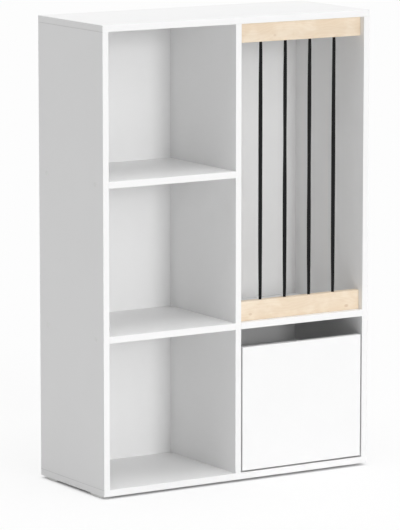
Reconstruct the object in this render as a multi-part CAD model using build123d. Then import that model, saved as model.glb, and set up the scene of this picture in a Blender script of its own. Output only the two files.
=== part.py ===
from build123d import *
import os
from math import atan2, cos, degrees, exp, pi, radians, sin, sqrt

os.makedirs("parts", exist_ok=True)

# Bookshelf for a child's room. All sizes are in millimetres. X runs to the right, Y to the
# rear and Z up. The origin lies on the floor, under the middle of the body.

# Carcass
board = 16.0  # laminated board
bay_width = 350.0  # clear width of each of the two columns
bay_height = 350.0  # clear height of each of the three tiers
depth = 300.0  # front edges to rear edges
arris = 0.5  # bevel along the banded edges
back_thick = 3.0  # hardboard back, let into the rear edges
back_lap = 8.0  # how far the back lies over each board
sheet_play = 0.2  # gap round a sheet in its rebate or groove

# Feet
foot_height = 6.0
foot_length = 49.0  # along the depth
foot_width = 30.0
foot_corner = 4.0
foot_inset = 2.0  # from the side of the body
foot_setback = 22.0  # from the front and rear edges
foot_recess = 2.0  # depth of the screw head above the floor

# Rails and cords of the tall compartment
rail_height = 47.0
rail_thick = 20.0
rail_setback = 16.0
rail_round = 1.5
cord_count = 4
cord_width = 10.0  # flat elastic
cord_thick = 2.4
cord_neck = 5.6  # the elastic gathered to pass its hole
cord_spread = 70.0  # length over which it opens out flat
knot_width = 11.4
knot_length = 11.0
soft_gap = 0.3  # elastic to wood
# For each cord, the height of its turn as a share of its span, and the turn in degrees
cord_turns = ((0.48, 25.0), (0.61, 58.0), (0.51, 52.0), (0.80, 50.0))
cord_turn_length = 90.0

# Drawer
front_gap = 4.0  # shadow gap at the sides and bottom of the front
hand_gap = 45.0  # opening over the front
box_length = 250.0
box_board = 12.0
box_rise = 18.0  # bottom panel to the box
box_drop = 50.0  # top of the front to the top of the box
groove_rise = 10.0
groove_depth = 6.0
bottom_thick = 3.0

# Runners, one pair: a channel on the cabinet and a rail on the drawer
runner_space = 12.5
steel = 1.2
roller_radius = 10.0
axle_radius = 2.5
roller_inset = 12.0  # roller centre to the member's end
runner_setback = 2.0  # front of the channel behind the drawer front
lift_gap = 3.8  # above the drawer's flange, to lift the drawer out
leg_rise = 8.0  # channel's underside to the drawer member's leg
leg_width = 9.0
side_gap = 0.8  # between steel parts that pass each other
roller_side_gap = 0.5
drawer_travel = 190.0
stop_height = 3.0
running_gap = 0.3
axle_play = 0.08
axle_head = 1.0

# Fasteners
fit = 0.05  # round a fastener in its hole
tip_gap = 0.3  # past the end of a fastener in a blind hole
overcut = 1.0  # how far a cut runs past the face it opens
line_inset = 37.0  # fixing lines from the front and rear edges
confirmat_length = 50.0
confirmat_shank = 7.0
confirmat_head = 10.0
confirmat_head_length = 3.5
socket_width = 4.0
socket_depth = 3.0
cap_diameter = 12.0
cap_thick = 1.0
cap_plug = 2.5
cam_diameter = 15.0
cam_sides = 12
cam_skin = 2.5  # board left under a cam
cam_reach = 24.0  # board end to cam centre
cam_grip = 11.0  # cam bolt in the other board
cam_bolt = 6.0
box_cam_edge = 40.0  # cams from the top and bottom edges of the box
dowel_diameter = 8.0
dowel_length = 30.0
dowel_in_face = 10.0
dowel_offset = 20.0
wood_screw_length = 40.0
wood_screw_shank = 4.0
wood_screw_head = 8.0
wood_screw_head_length = 2.2
rail_screw_grip = 12.0  # rail screw in the top panel
foot_screw_length = 16.0
box_screw_edge = 45.0
runner_screw_length = 11.0
runner_screw_shank = 3.5
runner_screw_head = 6.4
runner_screw_places = (35.0, 195.0)  # from the channel's front end
nail_length = 18.0
nail_shank = 1.6
nail_head = 4.0
nail_head_thick = 0.8
nails_upright = 4
nails_across = 2

# Derived levels and places
width = 2 * bay_width + 3 * board
body_height = 3 * bay_height + 4 * board
left, right = -width / 2, width / 2
front, rear = -depth / 2, depth / 2
base = foot_height
top = base + body_height
floor_z = base + board  # upper face of the bottom panel
shelf_low = floor_z + bay_height  # underside of the lower shelves
shelf_high = shelf_low + board + bay_height
ceiling = top - board
back_face = rear - back_thick
bay_left = (left + board, -board / 2)
bay_right = (board / 2, right - board)
bay_mid = sum(bay_right) / 2
fixing_lines = (front + line_inset, rear - line_inset)

rail_front = front + rail_setback
rail_mid = rail_front + rail_thick / 2
rail_top_z = (ceiling - rail_height, ceiling)
rail_low_z = (shelf_low + board, shelf_low + board + rail_height)
cord_pitch = bay_width / (cord_count + 1)
cord_places = [bay_right[0] + cord_pitch * (i + 1) for i in range(cord_count)]
octagon_corner = 1 / cos(pi / 8)  # corner width of an octagon to its width across flats
cord_hole = cord_neck * octagon_corner + 2 * soft_gap
pocket_width = knot_width * octagon_corner + 2 * soft_gap
pocket_depth = knot_length + 2 * soft_gap
rail_screw_places = (bay_right[0] + cord_pitch / 2, bay_right[1] - cord_pitch / 2)

front_z = (floor_z + front_gap, shelf_low - hand_gap)
front_back = front + board  # rear face of the drawer front
box_z = (floor_z + box_rise, front_z[1] - box_drop)
box_x = (bay_right[0] + runner_space, bay_right[1] - runner_space)
box_inside = (box_x[0] + box_board, box_x[1] - box_board)
box_y = (front_back, front_back + box_length)
box_back_y = (box_y[1] - box_board, box_y[1])
groove_z = (box_z[0] + groove_rise, box_z[0] + groove_rise + bottom_thick + sheet_play)

roller_axis = steel + running_gap + roller_radius  # above the channel's underside
flange_under = roller_axis + roller_radius + running_gap
channel_height = flange_under + steel + lift_gap + steel
channel_z = box_z[0] - steel - leg_rise
channel_front = front_back + runner_setback
lip_out = runner_space - steel - side_gap
roller_span = (steel + axle_head + roller_side_gap, lip_out - steel - roller_side_gap)
cabinet_roller_y = channel_front + roller_inset
drawer_roller_y = box_y[1] - roller_inset


def slab(x, y, z):
    """Solid box between (low, high) on each axis."""
    middle = [sum(span) / 2 for span in (x, y, z)]
    size = [span[1] - span[0] for span in (x, y, z)]
    return Pos(*middle) * Box(*size)


def eased(solid, edges=None):
    """Bevels the given edges, or every edge, by the arris."""
    return chamfer(edges if edges else solid.edges(), arris)


def ease_front(solid, axis):
    """Bevels the two long front edges of a board."""
    return eased(solid, solid.edges().filter_by(axis).group_by(Axis.Y)[0])


def along(place, direction, solid):
    """Puts a solid made along +Z at a place, turned to a direction."""
    return Plane(origin=place, z_dir=direction).location * solid


def rod(diameter, length, start=0.0, sides=6):
    """Many-sided rod: hidden shanks and their holes keep few faces."""
    section = RegularPolygon(diameter / 2, sides, major_radius=False)
    return Pos(0, 0, start) * extrude(section, length)


def taper(wide, narrow, length, sides=8):
    """Many-sided taper with its wide end at the start, as under a countersunk head."""
    section = RegularPolygon(wide / 2, sides, major_radius=False)
    return extrude(section, length, taper=degrees(atan2((wide - narrow) / 2, length)))


def countersunk(head, head_length, shank, length):
    """Countersunk screw with its head's top at the start."""
    thread = rod(shank, length - head_length, head_length, sides=8)
    return taper(head, shank, head_length) + thread


def countersunk_hole(head, head_length, shank, length, mouth=overcut):
    """Hole for the same screw, open above its head by the mouth."""
    grown = countersunk(head + 2 * fit, head_length, shank + 2 * fit, length + tip_gap)
    return grown + rod(head + 2 * fit, mouth, -mouth, sides=8)


def drilled(solid, cutters):
    """Takes out the cutters that meet the solid."""
    bounds = solid.bounding_box()
    for cutter in cutters:
        other = cutter.bounding_box()
        apart = any(
            lo > hi2 or hi < lo2
            for lo, hi, lo2, hi2 in zip(bounds.min, bounds.max, other.min, other.max)
        )
        if not apart:
            solid = solid - cutter
    return solid


# Fixings of the carcass


def confirmat_places():
    """Heads and directions of the long screws, each group on both fixing lines."""
    low_mid, high_mid = shelf_low + board / 2, shelf_high + board / 2
    heads = []
    for y in fixing_lines:
        for z in (low_mid, high_mid):
            heads.append(((left, y, z), (1, 0, 0)))
        heads.append(((right, y, low_mid), (-1, 0, 0)))
        heads.append(((board / 2, y, high_mid), (-1, 0, 0)))
        for x in (left + board / 2, 0, right - board / 2):
            heads.append(((x, y, base), (0, 0, 1)))
    return heads


def confirmat():
    screw = countersunk(
        confirmat_head, confirmat_head_length, confirmat_shank, confirmat_length
    )
    socket = extrude(RegularPolygon(socket_width / 2, 6, major_radius=False), socket_depth)
    return screw - socket


def confirmat_hole():
    return countersunk_hole(
        confirmat_head, confirmat_head_length, confirmat_shank, confirmat_length
    )


def cap():
    """Cover disc on the board with a plug in the screw's socket."""
    disc = Rot(180, 0, 0) * taper(cap_diameter, cap_diameter - cap_thick, cap_thick, sides=16)
    plug_size = socket_width / 2 - 2 * fit
    return disc + extrude(RegularPolygon(plug_size, 6, major_radius=False), cap_plug)


def cam_fixings():
    """Cam places with their facing, and the bolts between them and the next board."""
    cams, bolts = [], []
    for y in fixing_lines:
        for x, facing in ((left + board, 1), (board / 2, 1), (right - board, -1)):
            cams.append(((x, y, ceiling - cam_reach), (-facing, 0, 0), board))
            start = (x - facing * board / 2, y, ceiling - cam_reach)
            bolts.append((start, (0, 0, 1), cam_reach + cam_grip))
        for x in (-board / 2 - cam_reach, board / 2 + cam_reach):
            cams.append(((x, y, shelf_low), (0, 0, 1), board))
        start = (-board / 2 - cam_reach, y, shelf_low + board / 2)
        bolts.append((start, (1, 0, 0), board + 2 * cam_reach))
    return cams, bolts


def cam_body(thickness, grow=0.0):
    return rod(cam_diameter + 2 * grow, thickness - cam_skin, sides=cam_sides)


def cam_solids(cams, bolt_holes):
    """Cam housings, each with the way in for its bolt."""
    bodies = [along(place, way, cam_body(thick)) for place, way, thick in cams]
    return [drilled(body, bolt_holes) for body in bodies]


def bolt_hole(length):
    return rod(cam_bolt + 2 * fit, length + 2 * tip_gap, -tip_gap)


def dowel_places():
    """Start and direction of each dowel, from inside the board's face."""
    ends = [((x, 0, ceiling + dowel_in_face), (0, 0, -1)) for x in
            (left + board / 2, 0, right - board / 2)]
    shelf_mid = shelf_low + board / 2
    inner = board / 2 - dowel_in_face
    ends.append(((-inner, -dowel_offset, shelf_mid), (-1, 0, 0)))
    ends.append(((inner, dowel_offset, shelf_mid), (1, 0, 0)))
    return ends


def dowel_hole():
    return rod(dowel_diameter + 2 * fit, dowel_length + 2 * tip_gap, -tip_gap)


def wood_screw(length):
    return countersunk(wood_screw_head, wood_screw_head_length, wood_screw_shank, length)


def wood_screw_hole(length, mouth):
    return countersunk_hole(
        wood_screw_head, wood_screw_head_length, wood_screw_shank, length, mouth
    )


def rail_screw_heads():
    """Heads of the screws up through the lower shelf and the upper rail, with their mouths."""
    sunk = rail_height + rail_screw_grip - wood_screw_length
    heads = []
    for x in rail_screw_places:
        heads.append(((x, rail_mid, shelf_low), overcut))
        heads.append(((x, rail_mid, rail_top_z[0] + sunk), sunk + overcut))
    return heads


def foot_centres():
    """Name and centre of each foot."""
    x = width / 2 - foot_inset - foot_width / 2
    y = depth / 2 - foot_setback - foot_length / 2
    return {
        f"foot_{row}_{side}": (sx * x, sy * y)
        for row, sy in (("front", -1), ("rear", 1))
        for side, sx in (("left", -1), ("right", 1))
    }


cams, cam_bolts = cam_fixings()
bolt_holes = [along(place, way, bolt_hole(length)) for place, way, length in cam_bolts]
carcass_holes = (
    [along(place, way, confirmat_hole()) for place, way in confirmat_places()]
    + [along(place, way, cam_body(thick, fit)) for place, way, thick in cams]
    + bolt_holes
    + [along(place, way, dowel_hole()) for place, way in dowel_places()]
)
rail_holes = [
    Pos(*head) * wood_screw_hole(wood_screw_length, mouth) for head, mouth in rail_screw_heads()
]
foot_screw_heads = [(x, y, foot_recess) for x, y in foot_centres().values()]
foot_holes = [
    Pos(*head) * wood_screw_hole(foot_screw_length, foot_recess + overcut)
    for head in foot_screw_heads
]


# Boards


def outer_board(z, seat_z):
    """Top or bottom panel, with the stopped rebate for the back."""
    panel = eased(slab((left, right), (front, rear), z))
    seat = slab((left + back_lap, right - back_lap), (back_face, rear + overcut), seat_z)
    return panel - seat


def side_panel(x, seat_x):
    panel = slab(x, (front, rear), (floor_z, ceiling))
    panel = eased(panel, panel.edges().filter_by(Axis.Z))
    seat_z = (floor_z - overcut, ceiling + overcut)
    return panel - slab(seat_x, (back_face, rear + overcut), seat_z)


def divider():
    panel = slab((-board / 2, board / 2), (front, back_face), (floor_z, ceiling))
    return ease_front(panel, Axis.Z)


def shelf(bay, z):
    return ease_front(slab(bay, (front, back_face), (z, z + board)), Axis.X)


def back_sheet(x):
    z = (floor_z - back_lap + sheet_play, ceiling + back_lap - sheet_play)
    return slab(x, (back_face, rear), z)


def back_nails():
    """Nails round the edge of each back sheet and along the shelves."""
    edge = back_lap / 2
    low, high = floor_z - edge, ceiling + edge
    places = []
    for outer, inner, shelves in (
        (left + board - edge, -edge, (shelf_low, shelf_high)),
        (right - board + edge, edge, (shelf_low,)),
    ):
        step = (high - low) / (nails_upright + 1)
        for x in (outer, inner):
            places += [(x, low + step * (i + 1)) for i in range(nails_upright)]
        levels = [low, high] + [z + board / 2 for z in shelves]
        across = (inner - outer) / (nails_across + 1)
        for z in levels:
            places += [(outer + across * (i + 1), z) for i in range(nails_across)]
    return [along((x, rear, z), (0, -1, 0), nail()) for x, z in places]


def nail():
    """Round head flush with the back, on a square-sided shank."""
    shank = extrude(Rectangle(nail_shank, nail_shank), nail_length)
    return rod(nail_head, nail_head_thick) + shank


def foot(x, y):
    """Low glide with cut corners."""
    pad = Pos(x, y, foot_height / 2) * Box(foot_width, foot_length, foot_height)
    return drilled(chamfer(pad.edges().filter_by(Axis.Z), foot_corner), foot_holes)


# Rails and cords


def rail(z, pocket_z, hole_z):
    """Birch rail with a hole and a knot pocket for each cord."""
    bar = slab(bay_right, (rail_front, rail_front + rail_thick), z)
    bar = fillet(bar.edges().filter_by(Axis.X), rail_round)
    for x in cord_places:
        bar -= Pos(x, rail_mid, hole_z) * rod(cord_hole, rail_height, sides=12)
        bar -= Pos(x, rail_mid, pocket_z) * rod(pocket_width, pocket_depth, sides=8)
    return drilled(bar, rail_holes)


def cord_shape(height, span, turn_at, turn):
    """Width, thickness and turn of a cord's flat section at a height in its free span."""
    end = min(height, span - height)
    open_share = 1 - exp(-max(end, 0) / cord_spread)
    wide = cord_neck + (cord_width - cord_neck) * open_share
    thick = cord_neck + (cord_thick - cord_neck) * open_share
    off = (height - turn_at * span) / cord_turn_length
    return wide, thick, turn * exp(-off * off)


def cord_section(x, z, wide, thick, turn):
    """Flat section with cut corners, a regular octagon where it is as thick as wide."""
    cut = thick * (1 - 1 / sqrt(2))
    outline = chamfer(Rectangle(wide, thick).vertices(), cut)
    facing = (cos(radians(turn)), sin(radians(turn)), 0)
    return Plane(origin=(x, rail_mid, z), x_dir=facing, z_dir=(0, 0, 1)) * outline


def cord(x, turn_at, turn, steps=9):
    """Elastic from a knot in the lower rail to a knot in the upper rail, as one solid."""
    low, high = rail_low_z[1], rail_top_z[0]
    span = high - low
    knot_low = rail_low_z[0] + soft_gap
    knot_high = rail_top_z[1] - soft_gap
    shoulder = (knot_width - cord_neck) / 2
    rings = [
        (knot_low, cord_neck),
        (knot_low + shoulder, knot_width),
        (knot_low + knot_length - shoulder, knot_width),
        (knot_low + knot_length, cord_neck),
    ]
    sections = [cord_section(x, z, size, size, 0) for z, size in rings]
    for i in range(steps + 1):
        height = span * (1 - cos(pi * i / steps)) / 2
        sections.append(cord_section(x, low + height, *cord_shape(height, span, turn_at, turn)))
    rings = [(knot_high + knot_low - z, size) for z, size in reversed(rings)]
    sections += [cord_section(x, z, size, size, 0) for z, size in rings]
    return loft(sections, ruled=True)


# Drawer


def box_cam_fixings():
    """Cams on the outside of the drawer sides, and their bolts in the front."""
    cams, bolts = [], []
    for x, way in ((box_x[0], 1), (box_x[1], -1)):
        for z in (box_z[0] + box_cam_edge, box_z[1] - box_cam_edge):
            cams.append(((x, front_back + cam_reach, z), (way, 0, 0), box_board))
            start = (x + way * box_board / 2, front_back + cam_reach, z)
            bolts.append((start, (0, -1, 0), cam_reach + cam_grip))
    return cams, bolts


def box_screw_places():
    """Screws through the drawer sides into the ends of the back."""
    y = sum(box_back_y) / 2
    return [
        ((x, y, z), (way, 0, 0))
        for x, way in ((box_x[0], 1), (box_x[1], -1))
        for z in (box_z[0] + box_screw_edge, box_z[1] - box_screw_edge)
    ]


def runner_screw_heads(u, member_front):
    """Heads of one left-hand member's screws, at a distance from the cabinet side."""
    z = channel_z + channel_height / 2
    return [(bay_right[0] + u, member_front + y, z) for y in runner_screw_places]


def runner_screw():
    return countersunk(runner_screw_head, steel, runner_screw_shank, runner_screw_length)


def runner_screw_hole():
    return countersunk_hole(runner_screw_head, steel, runner_screw_shank, runner_screw_length, fit)


def both_hands(solid):
    """A left-hand solid and its mirror image in the drawer's bay."""
    return solid, mirror(solid, about=Plane(origin=(bay_mid, 0, 0), z_dir=(1, 0, 0)))


def at_runner(u, y, z):
    """Slab of a left-hand member: spans from the cabinet side and above the channel."""
    x = [bay_right[0] + value for value in u]
    return slab(x, y, [channel_z + value for value in z])


def axle(u, y, way, length):
    """Rivet for a roller, with a head beyond it."""
    place = (bay_right[0] + u, y, channel_z + roller_axis)
    shaft = extrude(Circle(axle_radius), length)
    head = rod(2 * (axle_radius + axle_head), axle_head, length, sides=8)
    return along(place, (way, 0, 0), shaft + head)


def axle_hole(y):
    place = (bay_right[0], y, channel_z + roller_axis)
    return along(place, (1, 0, 0), rod(2 * (axle_radius + fit), runner_space, sides=8))


def roller(y):
    """Nylon roller with a running bore."""
    section = Circle(roller_radius) - Circle(axle_radius + axle_play)
    wheel = extrude(section, roller_span[1] - roller_span[0])
    return along((bay_right[0] + roller_span[0], y, channel_z + roller_axis), (1, 0, 0), wheel)


def channel():
    """Cabinet member: web, two flanges, a guide lip, and a stop at each end of the travel."""
    y = (channel_front, channel_front + box_length)
    ends = (0, channel_height)
    reach = (0, lip_out)
    member = at_runner((0, steel), y, ends)
    member += at_runner(reach, y, (0, steel))
    member += at_runner(reach, y, (channel_height - steel, channel_height))
    member += at_runner((lip_out - steel, lip_out), y, (0, steel + stop_height / 2))
    closed = drawer_roller_y + roller_radius + running_gap
    member += at_runner(reach, (closed, closed + steel), (0, roller_axis))
    half_chord = sqrt(roller_radius**2 - (roller_radius - stop_height) ** 2)
    opened = drawer_roller_y - drawer_travel - half_chord - running_gap
    member += at_runner(reach, (opened - steel, opened), (0, steel + stop_height))
    holes = [
        along(head, (-1, 0, 0), runner_screw_hole())
        for head in runner_screw_heads(steel, channel_front)
    ]
    return drilled(member - axle_hole(cabinet_roller_y), holes)


def drawer_member():
    """Drawer member: a web on the drawer side, a leg under it and a flange that rolls."""
    web = (runner_space - steel, runner_space)
    member = at_runner(web, box_y, (leg_rise, flange_under + steel))
    member += at_runner((web[0], runner_space + leg_width), box_y, (leg_rise, leg_rise + steel))
    member += at_runner((roller_span[0], web[1]), box_y, (flange_under, flange_under + steel))
    holes = [
        along(head, (1, 0, 0), runner_screw_hole())
        for head in runner_screw_heads(web[0], channel_front)
    ]
    return drilled(member - axle_hole(drawer_roller_y), holes)


box_cams, box_bolts = box_cam_fixings()
box_bolt_holes = [along(place, way, bolt_hole(length)) for place, way, length in box_bolts]
side_screws = [
    screw
    for head in runner_screw_heads(steel, channel_front)
    for screw in both_hands(along(head, (-1, 0, 0), runner_screw()))
]
box_side_screws = [
    screw
    for head in runner_screw_heads(runner_space - steel, channel_front)
    for screw in both_hands(along(head, (1, 0, 0), runner_screw()))
]
side_holes = [
    hole
    for head in runner_screw_heads(steel, channel_front)
    for hole in both_hands(along(head, (-1, 0, 0), runner_screw_hole()))
]
box_side_holes = [
    hole
    for head in runner_screw_heads(runner_space - steel, channel_front)
    for hole in both_hands(along(head, (1, 0, 0), runner_screw_hole()))
]
box_holes = (
    [along(place, way, cam_body(thick, fit)) for place, way, thick in box_cams]
    + box_bolt_holes
    + [
        along(place, way, wood_screw_hole(wood_screw_length, overcut))
        for place, way in box_screw_places()
    ]
    + box_side_holes
)


def bottom_groove():
    """Space for the drawer's bottom in the four walls."""
    grown = groove_depth
    x = (box_inside[0] - grown, box_inside[1] + grown)
    y = (front_back - grown, box_back_y[0] + grown)
    return slab(x, y, groove_z)


def drawer_bottom():
    inset = groove_depth - sheet_play
    x = (box_inside[0] - inset, box_inside[1] + inset)
    y = (front_back - inset, box_back_y[0] + inset)
    return slab(x, y, (groove_z[0], groove_z[0] + bottom_thick))


def drawer_front():
    x = (bay_right[0] + front_gap, bay_right[1] - front_gap)
    panel = eased(slab(x, (front, front_back), front_z))
    return drilled(panel - bottom_groove(), box_holes)


def drawer_side(x):
    panel = slab(x, box_y, box_z)
    top_edges = panel.edges().filter_by(Axis.Y).group_by(Axis.Z)[-1]
    return drilled(eased(panel, top_edges) - bottom_groove(), box_holes)


def drawer_back():
    panel = slab(box_inside, box_back_y, box_z)
    top_edges = panel.edges().filter_by(Axis.X).group_by(Axis.Z)[-1]
    return drilled(eased(panel, top_edges) - bottom_groove(), box_holes)


def carcass_boards():
    """The boards of the carcass, drilled for the fixings that reach them."""
    rebate = (floor_z - back_lap, ceiling + back_lap)
    blanks = {
        "top_panel": outer_board((ceiling, top), (ceiling - overcut, rebate[1])),
        "bottom_panel": outer_board((base, floor_z), (rebate[0], floor_z + overcut)),
        "side_panel_left": side_panel(
            (left, bay_left[0]), (left + back_lap, bay_left[0] + overcut)
        ),
        "side_panel_right": side_panel(
            (bay_right[1], right), (bay_right[1] - overcut, right - back_lap)
        ),
        "centre_divider": divider(),
        "shelf_left_upper": shelf(bay_left, shelf_high),
        "shelf_left_lower": shelf(bay_left, shelf_low),
        "shelf_right": shelf(bay_right, shelf_low),
    }
    holes = carcass_holes + rail_holes + foot_holes + side_holes
    return {name: drilled(blank, holes) for name, blank in blanks.items()}


def group(solids):
    """Like pieces that share a node, kept as separate solids."""
    return Compound(list(solids))


parts = carcass_boards()
parts["back_panel_left"] = back_sheet((left + back_lap + sheet_play, -sheet_play))
parts["back_panel_right"] = back_sheet((sheet_play, right - back_lap - sheet_play))
parts["rail_upper"] = rail(rail_top_z, ceiling - pocket_depth, rail_top_z[0])
parts["rail_lower"] = rail(rail_low_z, rail_low_z[0], rail_low_z[0])
for i, place in enumerate(cord_places):
    parts[f"elastic_cord_{i + 1}"] = cord(place, *cord_turns[i % len(cord_turns)])
for name, (x, y) in foot_centres().items():
    parts[name] = foot(x, y)
parts["confirmat_screws"] = group(
    along(place, way, confirmat()) for place, way in confirmat_places()
)
parts["screw_caps"] = group(
    along(place, way, cap()) for place, way in confirmat_places() if way[2] == 0
)
parts["cam_housings"] = group(cam_solids(cams, bolt_holes))
parts["cam_bolts"] = group(
    along(place, way, rod(cam_bolt, length)) for place, way, length in cam_bolts
)
parts["dowels"] = group(
    along(place, way, rod(dowel_diameter, dowel_length)) for place, way in dowel_places()
)
parts["back_nails"] = group(back_nails())
parts["rail_screws"] = group(
    Pos(*head) * wood_screw(wood_screw_length) for head, mouth in rail_screw_heads()
)
parts["foot_screws"] = group(
    Pos(*head) * wood_screw(foot_screw_length) for head in foot_screw_heads
)

channel_axle = roller_span[1] + fit
drawer_axle = runner_space - steel - roller_span[0] + fit
pairs = {
    "cabinet_runner": channel(),
    "cabinet_roller": roller(cabinet_roller_y),
    "drawer_runner": drawer_member(),
    "drawer_roller": roller(drawer_roller_y),
}
for name, solid in pairs.items():
    parts[f"{name}_left"], parts[f"{name}_right"] = both_hands(solid)
parts["cabinet_axles"] = group(both_hands(axle(0, cabinet_roller_y, 1, channel_axle)))
parts["drawer_axles"] = group(
    both_hands(axle(runner_space - steel, drawer_roller_y, -1, drawer_axle))
)
parts["cabinet_runner_screws"] = group(side_screws)
parts["drawer_runner_screws"] = group(box_side_screws)

parts["drawer_front"] = drawer_front()
parts["drawer_side_left"] = drawer_side((box_x[0], box_inside[0]))
parts["drawer_side_right"] = drawer_side((box_inside[1], box_x[1]))
parts["drawer_back"] = drawer_back()
parts["drawer_bottom"] = drawer_bottom()
parts["drawer_cam_housings"] = group(cam_solids(box_cams, box_bolt_holes))
parts["drawer_cam_bolts"] = group(
    along(place, way, rod(cam_bolt, length)) for place, way, length in box_bolts
)
parts["drawer_screws"] = group(
    along(place, way, wood_screw(wood_screw_length)) for place, way in box_screw_places()
)

for name, shape in parts.items():
    export_step(shape, f"parts/{name}.step")
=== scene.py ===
"""Looks of the bookshelf with cords and a drawer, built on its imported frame."""

import math

import bmesh
import bpy
from mathutils import Matrix, Vector


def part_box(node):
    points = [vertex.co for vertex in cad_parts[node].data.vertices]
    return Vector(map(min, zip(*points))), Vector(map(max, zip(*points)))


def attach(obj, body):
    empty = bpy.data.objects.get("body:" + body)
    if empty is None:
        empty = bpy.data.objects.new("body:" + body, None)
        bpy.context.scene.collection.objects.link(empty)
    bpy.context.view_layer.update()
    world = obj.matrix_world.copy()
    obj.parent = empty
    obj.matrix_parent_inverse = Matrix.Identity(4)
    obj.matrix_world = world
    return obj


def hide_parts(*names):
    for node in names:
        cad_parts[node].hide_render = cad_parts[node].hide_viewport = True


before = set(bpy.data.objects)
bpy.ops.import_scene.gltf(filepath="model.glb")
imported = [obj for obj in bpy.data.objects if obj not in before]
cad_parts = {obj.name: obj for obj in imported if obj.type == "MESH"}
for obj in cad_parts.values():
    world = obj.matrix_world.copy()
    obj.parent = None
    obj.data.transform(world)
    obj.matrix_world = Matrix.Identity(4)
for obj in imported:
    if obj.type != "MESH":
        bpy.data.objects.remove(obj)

bl_info = {
    "name": "Bookshelf with Cords and Drawer",
    "version": (1, 0, 0),
    "blender": (4, 5, 0),
    "location": "View3D > Sidebar > Bookshelf",
    "description": "Dresses a small white bookshelf with birch rails, elastic bands and a drawer",
    "category": "Object",
}

MM = 0.001
WHITE = (1, 1, 1, 1)
CARCASS = "carcass"
DRAWER = "drawer"

# Sizes of the shelf, in millimetres
BOARD = 16.0
HALF_BOARD = BOARD / 2
FIXING_LINES = (-113.0, 113.0)
LEFT, RIGHT = -374.0, 374.0
REAR = 150.0
BASE, CEILING = 6.0, 1104.0
SHELF_LOW, SHELF_HIGH = 372.0, 738.0
BAND_LINE = -149.4
RAIL_MID = -124.0
RAIL_SCREWS = (43.0, 323.0)
GLIDE_X, GLIDE_Y = 357.0, 103.5
BOX_LEFT, BOX_RIGHT = 20.5, 345.5
BOX_FRONT, BOX_REAR = -110.0, 110.0
RUNNER_Z = 30.8
ROLLER_Z = 42.3
RUNNER_SCREWS = (-97.0, 63.0)
CHANNEL_WHEEL, MEMBER_WHEEL = -120.0, 104.0
MEMBER_LEFT, MEMBER_RIGHT = 19.3, 346.7


def linear(red, green, blue):
    """A colour written as it shows on a screen, 0 to 255, as the shaders take it."""

    def one(value):
        value /= 255
        return value / 12.92 if value <= 0.04045 else ((value + 0.055) / 1.055) ** 2.4

    return one(red), one(green), one(blue)


# Materials


class Wire:
    """An output socket of a finish, on which sums are written as sums."""

    def __init__(self, finish, socket):
        self.finish = finish
        self.socket = socket

    def sum(self, operation, first, second=0.0, third=0.0):
        inputs = {0: first, 1: second, 2: third}
        return self.finish.node("ShaderNodeMath", {"operation": operation}, inputs)

    def __add__(self, other):
        return self.sum("ADD", self, other)

    def __radd__(self, other):
        return self.sum("ADD", other, self)

    def __sub__(self, other):
        return self.sum("SUBTRACT", self, other)

    def __rsub__(self, other):
        return self.sum("SUBTRACT", other, self)

    def __mul__(self, other):
        return self.sum("MULTIPLY", self, other)

    def __rmul__(self, other):
        return self.sum("MULTIPLY", other, self)

    def __truediv__(self, other):
        return self.sum("DIVIDE", self, other)

    def sine(self):
        return self.sum("SINE", self)

    def size(self):
        return self.sum("ABSOLUTE", self)

    def under(self, limit, soft):
        """1 where the value is below the limit, fading to 0 over the soft width."""
        span = {
            "Value": self,
            "From Min": limit - soft / 2,
            "From Max": limit + soft / 2,
            "To Min": 1.0,
            "To Max": 0.0,
        }
        settings = {"interpolation_type": "SMOOTHSTEP"}
        return self.finish.node("ShaderNodeMapRange", settings, span)


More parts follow.
